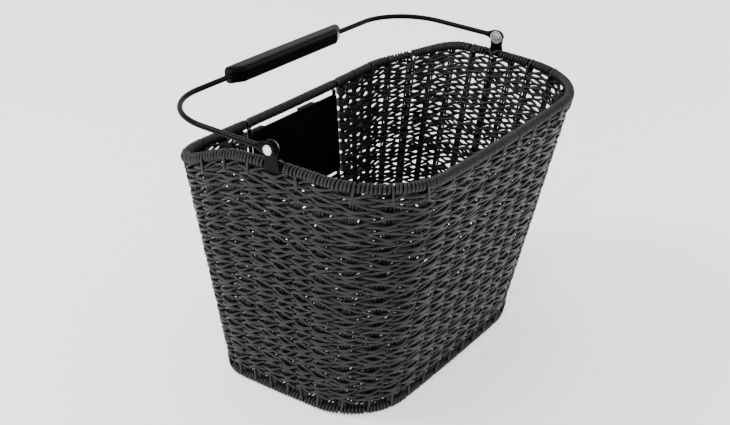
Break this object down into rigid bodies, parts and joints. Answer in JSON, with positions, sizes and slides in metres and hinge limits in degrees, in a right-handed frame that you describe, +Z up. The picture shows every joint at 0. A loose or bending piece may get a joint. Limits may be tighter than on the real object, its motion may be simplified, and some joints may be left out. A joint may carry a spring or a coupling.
{
  "type": "handlebar basket",
  "caption": "Tapered woven cane basket with wrapped rims, a swinging carry handle with a moulded grip, and a hooked handlebar coupling at the rear.",
  "frame": {"origin": "on the ground under the basket, below the middle of the rim", "axes": "+X to the basket's right across the handlebar, +Y to the rear (the handlebar side), +Z up"},
  "size_m": [0.3702, 0.2601, 0.2815],
  "materials": {
    "cane": "satin extruded plastic cane with a fine grain",
    "black_steel": "satin black powder coat",
    "bright_steel": "bright zinc plate",
    "coupling_plastic": "fine textured black moulding",
    "grip_plastic": "gloss black moulding"
  },
  "bodies": {
    "basket": {"top_rim_hoop": "black_steel", "base_rim_hoop": "black_steel", "frame_uprights": "black_steel", "rear_rod_left": "black_steel", "rear_rod_right": "black_steel", "cross_wires": "black_steel", "top_wrap_front": "cane", "top_wrap_rear": "cane", "base_wrap_front": "cane", "base_wrap_rear": "cane", "stakes_front": "cane", "stakes_left": "cane", "stakes_right": "cane", "stakes_rear": "cane", "weave_front": "cane", "weave_left_front": "cane", "weave_left_rear": "cane", "weave_right_front": "cane", "weave_right_rear": "cane", "weave_rear_left": "cane", "weave_rear_right": "cane", "weave_rear_lower": "cane", "floor_weave": "cane", "inner_plate": "black_steel", "outer_coupling": "coupling_plastic", "coupling_bolts": "black_steel", "coupling_washers": "black_steel", "coupling_nuts": "bright_steel", "bracket_left": "black_steel", "bracket_right": "black_steel", "pivot_rivet_left": "bright_steel", "pivot_rivet_right": "bright_steel", "rivet_washer_left": "bright_steel", "rivet_washer_right": "bright_steel", "friction_washer_left": "coupling_plastic", "friction_washer_right": "coupling_plastic"},
    "handle": {"handle_rod": "black_steel", "grip": "grip_plastic"}
  },
  "joints": [
    {"name": "handle_swing", "type": "hinge", "parent": "basket", "child": "handle", "pos_m": [0, -0.0054, 0.2668], "axis": [1, 0, 0], "range_deg": [-14, 182]}
  ]
}
